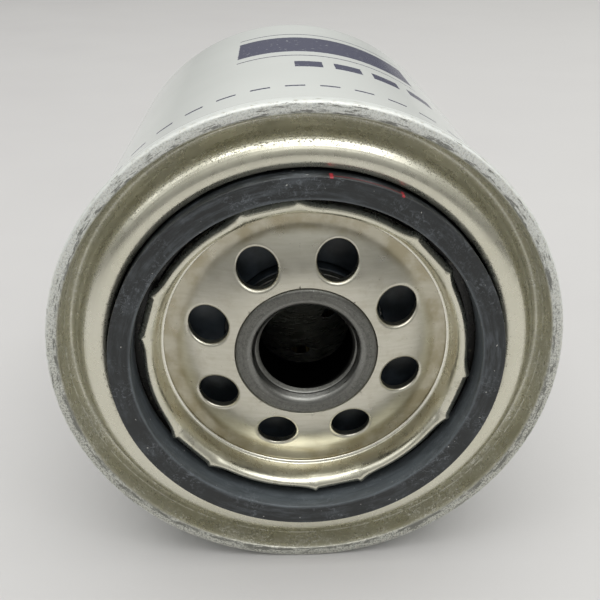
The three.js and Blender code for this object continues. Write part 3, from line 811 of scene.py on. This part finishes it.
def cap_line(height, facing):
    """A disc with an outer and an inner skirt of 3 mm and a shallow pressed bead; facing is 1 when
    the skirts point away from the thread end."""
    line = rounded([[14.5, -3.0], [14.5, 0], [39.5, 0], [39.5, -3.0]], [.1, .7, 1.0, .1], 8, closed=False)
    line = spaced(line, 1.2, closed=False)
    bead = 0.25 * np.exp(-((line[:, 0] - 27) / 1.4) ** 2) * (line[:, 1] > -0.2)
    line[:, 1] -= bead
    outline = sheet_line(line, -SHEET)
    return np.stack([outline[:, 0], height + facing * outline[:, 1]], 1)

turned("upper_cap", cap_line(-14.5, 1), inner_steel, "element", 200,
       nodes=["upper_end_cap"], slot="inner_steel")
turned("lower_cap", cap_line(-89.9, -1), inner_steel, "element", 200,
       nodes=["lower_end_cap"], slot="inner_steel")


def poured(r, h, a):
    """The plastisol's free face sags between the pleats: one lobe a pleat and a slower swell, both
    near the face only. away points from the paper's middle to that face's cap."""
    lobes = 0.12 * (np.cos(PLEATS * a) * ramp(r, 18, 22) + np.sin(5 * a + r * 0.2))
    upper = h > -50
    away, face = np.where(upper, 1, -1), np.where(upper, -17.0, -87.4)
    near = np.exp(-((h - face) / 0.5) ** 2)
    return r, h + away * near * (0.12 + 0.8 * lobes)


def potting_line(bottom, top):
    """The plastisol ring's section inside its cap."""
    return spaced(rounded([[16.1, bottom], [38.8, bottom], [38.8, top], [16.1, top]], 0.4), 1.0)

turned("upper_plastisol", potting_line(-16.9, -15.2), adhesive, "element", 352,
       change=poured, nodes=["upper_potting"], slot="adhesive")
turned("lower_plastisol", potting_line(-89.2, -87.5), adhesive, "element", 352,
       change=poured, nodes=["lower_potting"], slot="adhesive")


def tube_fields():
    """The tube unrolled: u = radius * angle, v = height. Four rows of six fields with a round hole,
    every second row moved by half a field, and a plain strip with a closed edge at both ends."""
    radius, thick, pitch, rows_at, holes = 15.8, 0.6, 14.0, (-73.2, -59.2, -45.2, -31.2), 6
    wide = TURN * radius / holes
    n, m = 16, 14
    across = np.linspace(-0.5, 0.5, n, endpoint=False) * wide
    along = np.linspace(-0.5, 0.5, m, endpoint=False) * pitch
    u = np.concatenate([across, np.full(m, wide / 2), -across, np.full(m, -wide / 2)])
    v = np.concatenate([np.full(n, -pitch / 2), along, np.full(n, pitch / 2), -along])
    outline, shared = np.stack([u, v], 1), np.ones(len(u), bool)
    made, faces, count = [], [], 0
    for row, height in enumerate(rows_at):
        for k in range(holes):
            turn = TURN * (k + (row % 2) / 2) / holes

            def lift(plan, down, turn=turn, height=height):
                a, r = plan[..., 0] / radius + turn, radius - down
                return to_scene(r * np.cos(a), r * np.sin(a), plan[..., 1] + height)

            field = holed_field(outline, 2.2, 0.12, thick, lift, 6, 4)
            faces.append(field_faces(*field.shape[:2], shared) + count)
            made.append(field.reshape(-1, 3))
            count += len(made[-1])
    for end, start in ((-89.2, -80.2), (-15.2, -24.2)):
        h = np.linspace(start, end, 7)
        r = np.repeat([radius, radius - thick], 7)
        strip = swept(np.stack([r, np.concatenate([h, h[::-1]])], 1), np.arange(96) / 96 * TURN)
        facing = 1 if end > start else -1     # keeps both strips wound as the fields are
        faces.append(grid_faces(*strip.shape[:2], False)[:, ::facing] + count)
        made.append(strip.reshape(-1, 3))
        count += len(made[-1])
    return np.concatenate(made), np.concatenate(faces)

points, faces = tube_fields()
solid("center_tube_sheet", points, faces, inner_steel, "element", nodes=["center_tube"], slot="inner_steel")

# %% Pleated paper and its clip
def pleats():
    """A wall of folded paper: with k = 0.985, which rounds the folds, the middle line's radius is
    27.9 + 9.1 asin(k sin(44 a)) / asin(k), and half a sheet lies to each side along its normal. Each
    pleat leans a little along its height, but not in the potting."""
    n, m = PLEATS * 26, 24
    a = np.arange(n) / n * TURN
    h = np.linspace(-87.1, -17.3, m)[:, None]
    middle_r, half_depth, sharp = 27.9, 9.1, 0.985
    r = middle_r + half_depth * np.arcsin(sharp * np.sin(PLEATS * a)) / np.arcsin(sharp)
    middle = np.stack([r * np.cos(a), r * np.sin(a)], 1)
    d = np.roll(middle, -1, 0) - np.roll(middle, 1, 0)
    normal = np.stack([d[:, 1], -d[:, 0]], 1) / np.linalg.norm(d, axis=1, keepdims=True)
    free = ramp(h, -87, -80) * (1 - ramp(h, -25, -17.5))
    lean = 0.010 * np.sin(h / 11 + 3 * np.sin(7 * a)) * free
    skins = []
    for side in (0.24, -0.24):
        x, y = (middle + normal * side).T
        skins.append(to_scene(x * np.cos(lean) - y * np.sin(lean), x * np.sin(lean) + y * np.cos(lean), h))
    return np.concatenate([skins[0], skins[1][::-1]])

points = pleats()
solid("pleated_paper", points, grid_faces(*points.shape[:2], True), paper, "element",
      nodes=["pleated_media"], slot="filter_paper")


def clip_strip():
    """A bent steel strip: a rounded section 5 mm wide moved along the height, pinched by small teeth
    whose depth is 0.12 mm and whose pitch is 3 mm. Each end closes in its section's middle."""
    x, y = rounded([[38.05, -2.4], [38.6, -2.5], [38.6, 2.5], [38.05, 2.4]], 0.2, 5).T
    h = np.linspace(-85.9, -18.5, 140)[:, None]
    tooth = 0.06 * (1 + np.sin(h * TURN / 3))
    side = to_scene(x - tooth * (np.abs(y) < 2), y, h)
    first, last = (to_scene(38.3 + 0 * x, 0 * y, end)[None] for end in (h[0], h[-1]))
    return np.concatenate([first, side, last])

points = clip_strip()
solid("pack_clip", points, grid_faces(*points.shape[:2], False), inner_steel, "element",
      nodes=["media_clip"], slot="inner_steel")

# %% [markdown]
# ## The bypass valve
# A small cup hangs in the lower cap. When the paper is clogged, oil lifts the poppet off the port in the
# cup's floor, against a coil spring that sits under a stamped bridge.

# %% Bypass valve pieces
cup_line = rounded([[4.2, -96.6], [11.6, -96.6], [11.6, -90.6], [14.0, -90.6], [14.0, -90.2],
                    [11.6, -90.2], [11.6, -86.2], [11.2, -86.2], [11.2, -96.2], [4.2, -96.2]],
                   [.15, 1.2, .3, .15, .15, .1, .15, .15, .8, .15], 6)
turned("bypass_cup", spaced(cup_line, 0.8), inner_steel, "element", 144,
       nodes=["bypass_housing"], slot="inner_steel")
seal_line = spaced(rounded([[2.6, -95.9], [8.2, -95.9], [8.2, -95.0], [2.6, -95.0]], 0.25), 0.6)
turned("bypass_facing", seal_line, valve_rubber, "poppet", 120, nodes=["bypass_seal"], slot="valve_rubber")
stem = rounded([[0, -94.7], [8.2, -94.7], [8.2, -94.1], [2.8, -94.1], [1.6, -93.3], [1.6, -84.6],
                [0, -84.6]], [0, .2, .2, .5, .5, .5, 0], 6, closed=False)
turned("bypass_poppet_disc", spaced(stem, 0.6, closed=False), inner_steel, "poppet", 120,
       nodes=["bypass_poppet"], slot="inner_steel")
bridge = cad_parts["bypass_retainer"]
bridge.data.materials.clear()
bridge.data.materials.append(inner_steel)

# %% [markdown]
# ## Springs
# A coil is a round wire moved along a helix. The last half turn at each end is wound flat, so the
# angle runs evenly while the height eases in and out.

# %% Coil springs
def coil(radius, wire, turns, bottom, top, flat=0.12, along=260, around=16):
    """Centre line (R cos t, R sin t, h), where h rises only between the flat ends. The wire's circle
    lies on the radial direction and the axis, and both ends close to a point."""
    s = np.linspace(0, 1, along)[:, None]
    t = s * turns * TURN
    even, eased = np.clip((s - flat) / (1 - 2 * flat), 0, 1), ramp(s, flat / 2, 1 - flat / 2)
    h = bottom + (top - bottom) * (0.5 * even + 0.5 * eased)
    w = np.arange(around)[None, :] / around * TURN
    tip = 0.005
    into_tip = np.clip(np.abs(2 * s - 1) - (1 - tip), 0, 1) / tip
    size = wire / 2 * np.sqrt(np.clip(1 - into_tip ** 2, 0, 1))
    r = radius + size * np.cos(w)
    return to_scene(r * np.cos(t), r * np.sin(t), h + size * np.sin(w))

points = coil(17.6, 1.7, 3.5, -106.3, -91.1)
big_spring = solid("element_coil", points, grid_faces(*points.shape[:2], False), wire_steel, None,
                   nodes=["element_spring"], slot="spring_steel")
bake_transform(big_spring)
points = coil(4.6, 0.9, 3.5, -93.3, -86.7, along=200, around=12)
small_spring = solid("bypass_coil", points, grid_faces(*points.shape[:2], False), wire_steel, None,
                     nodes=["bypass_spring"], slot="spring_steel")
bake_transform(small_spring)

# %% [markdown]
# ## Floor, light and camera
# The filter lies on a plain matt pale grey surface under soft overhead light. Polished sheet metal shows
# mostly what it reflects, so the light comes from broad panels over the viewer's side, and the room
# is grey at eye level and bright overhead. That gives the shoulder its long soft highlight.

# %% Floor
def floor_finish():
    m = Round("matt_floor")
    t = m.tree
    base = mix(t, m.noise(0.012, 4), "#b9b7b7", "#c2c1c0")
    # painted light: the floor is painted lighter towards +X
    shade = add(t, "MapRange", {"Value": m.side, "From Min": -500, "From Max": 500, "To Max": 0.6})
    base = mix(t, shade, base, "#d4d3d1")
    return m.finish(base, 0.55, 0.0, m.noise(1.2, 5), 0.02)

u, v = np.meshgrid(np.linspace(-4, 4, 41), np.linspace(-3, 5, 41), indexing="xy")
floor_points = np.stack([u, v, np.zeros_like(u)], -1)
floor_mesh = bpy.data.meshes.new("floor")
floor_faces = grid_faces(41, 41, False, False)[:, ::-1]
floor_mesh.from_pydata(floor_points.reshape(-1, 3).tolist(), [], floor_faces.tolist())
floor_mesh.materials.append(floor_finish())
floor = bpy.data.objects.new("floor", floor_mesh)
bpy.context.scene.collection.objects.link(floor)

# %% Lights
from mathutils import Vector

def light_panel(name, place, target, size, power, tint):
    """A rectangular area light of size metres and power watts at place, turned to target."""
    light = bpy.data.lights.new(name, "AREA")
    light.shape, light.size, light.size_y, light.energy = "RECTANGLE", size[0], size[1], power
    light.color = colour(tint)[:3]
    made = bpy.data.objects.new(name, light)
    made.location = place
    made.rotation_euler = (Vector(target) - Vector(place)).to_track_quat("-Z", "Y").to_euler()
    bpy.context.scene.collection.objects.link(made)

middle = (0, -0.03, 0.05)
light_panel("overhead", (0.0, -0.3, 2.5), middle, (3.2, 2.4), 56, "#ffffff")
light_panel("front_fill", (0.45, -1.3, 1.7), middle, (1.8, 0.7), 7, "#ffffff")
light_panel("left_window", (-1.15, -0.35, 0.85), middle, (0.8, 0.7), 1.6, "#fcfdff")
light_panel("right_window", (1.2, 0.1, 0.8), middle, (0.8, 0.8), 2.0, "#fffefd")

world = bpy.data.worlds.new("room")
bpy.context.scene.world = world
world.use_nodes = True
wt = world.node_tree
wt.nodes.clear()
look = add(wt, "SeparateXYZ", {0: add(wt, "TexCoord", out=0)}).node
rise = between(wt, look.outputs[2], -0.05, 0.55)
sky = mix(wt, rise, "#8a8988", "#f0f0ec")
background = add(wt, "Background", {0: sky, 1: 0.58})
room_output = wt.nodes.new("ShaderNodeOutputWorld")
wt.links.new(background, room_output.inputs[0])

# %% Camera
camera_data = bpy.data.cameras.new("camera")
camera_data.lens, camera_data.sensor_width, camera_data.clip_start = 48.785, 36.0, 0.01
camera = bpy.data.objects.new("camera", camera_data)
camera.location = (-0.00612, -0.17922, 0.12041)
camera.rotation_euler = Vector((0.0344021, 0.8978520, -0.4389513)).to_track_quat("-Z", "Y").to_euler()
bpy.context.scene.collection.objects.link(camera)
bpy.context.scene.camera = camera
bpy.context.scene.view_settings.view_transform = "Standard"
print("lights and camera ready")
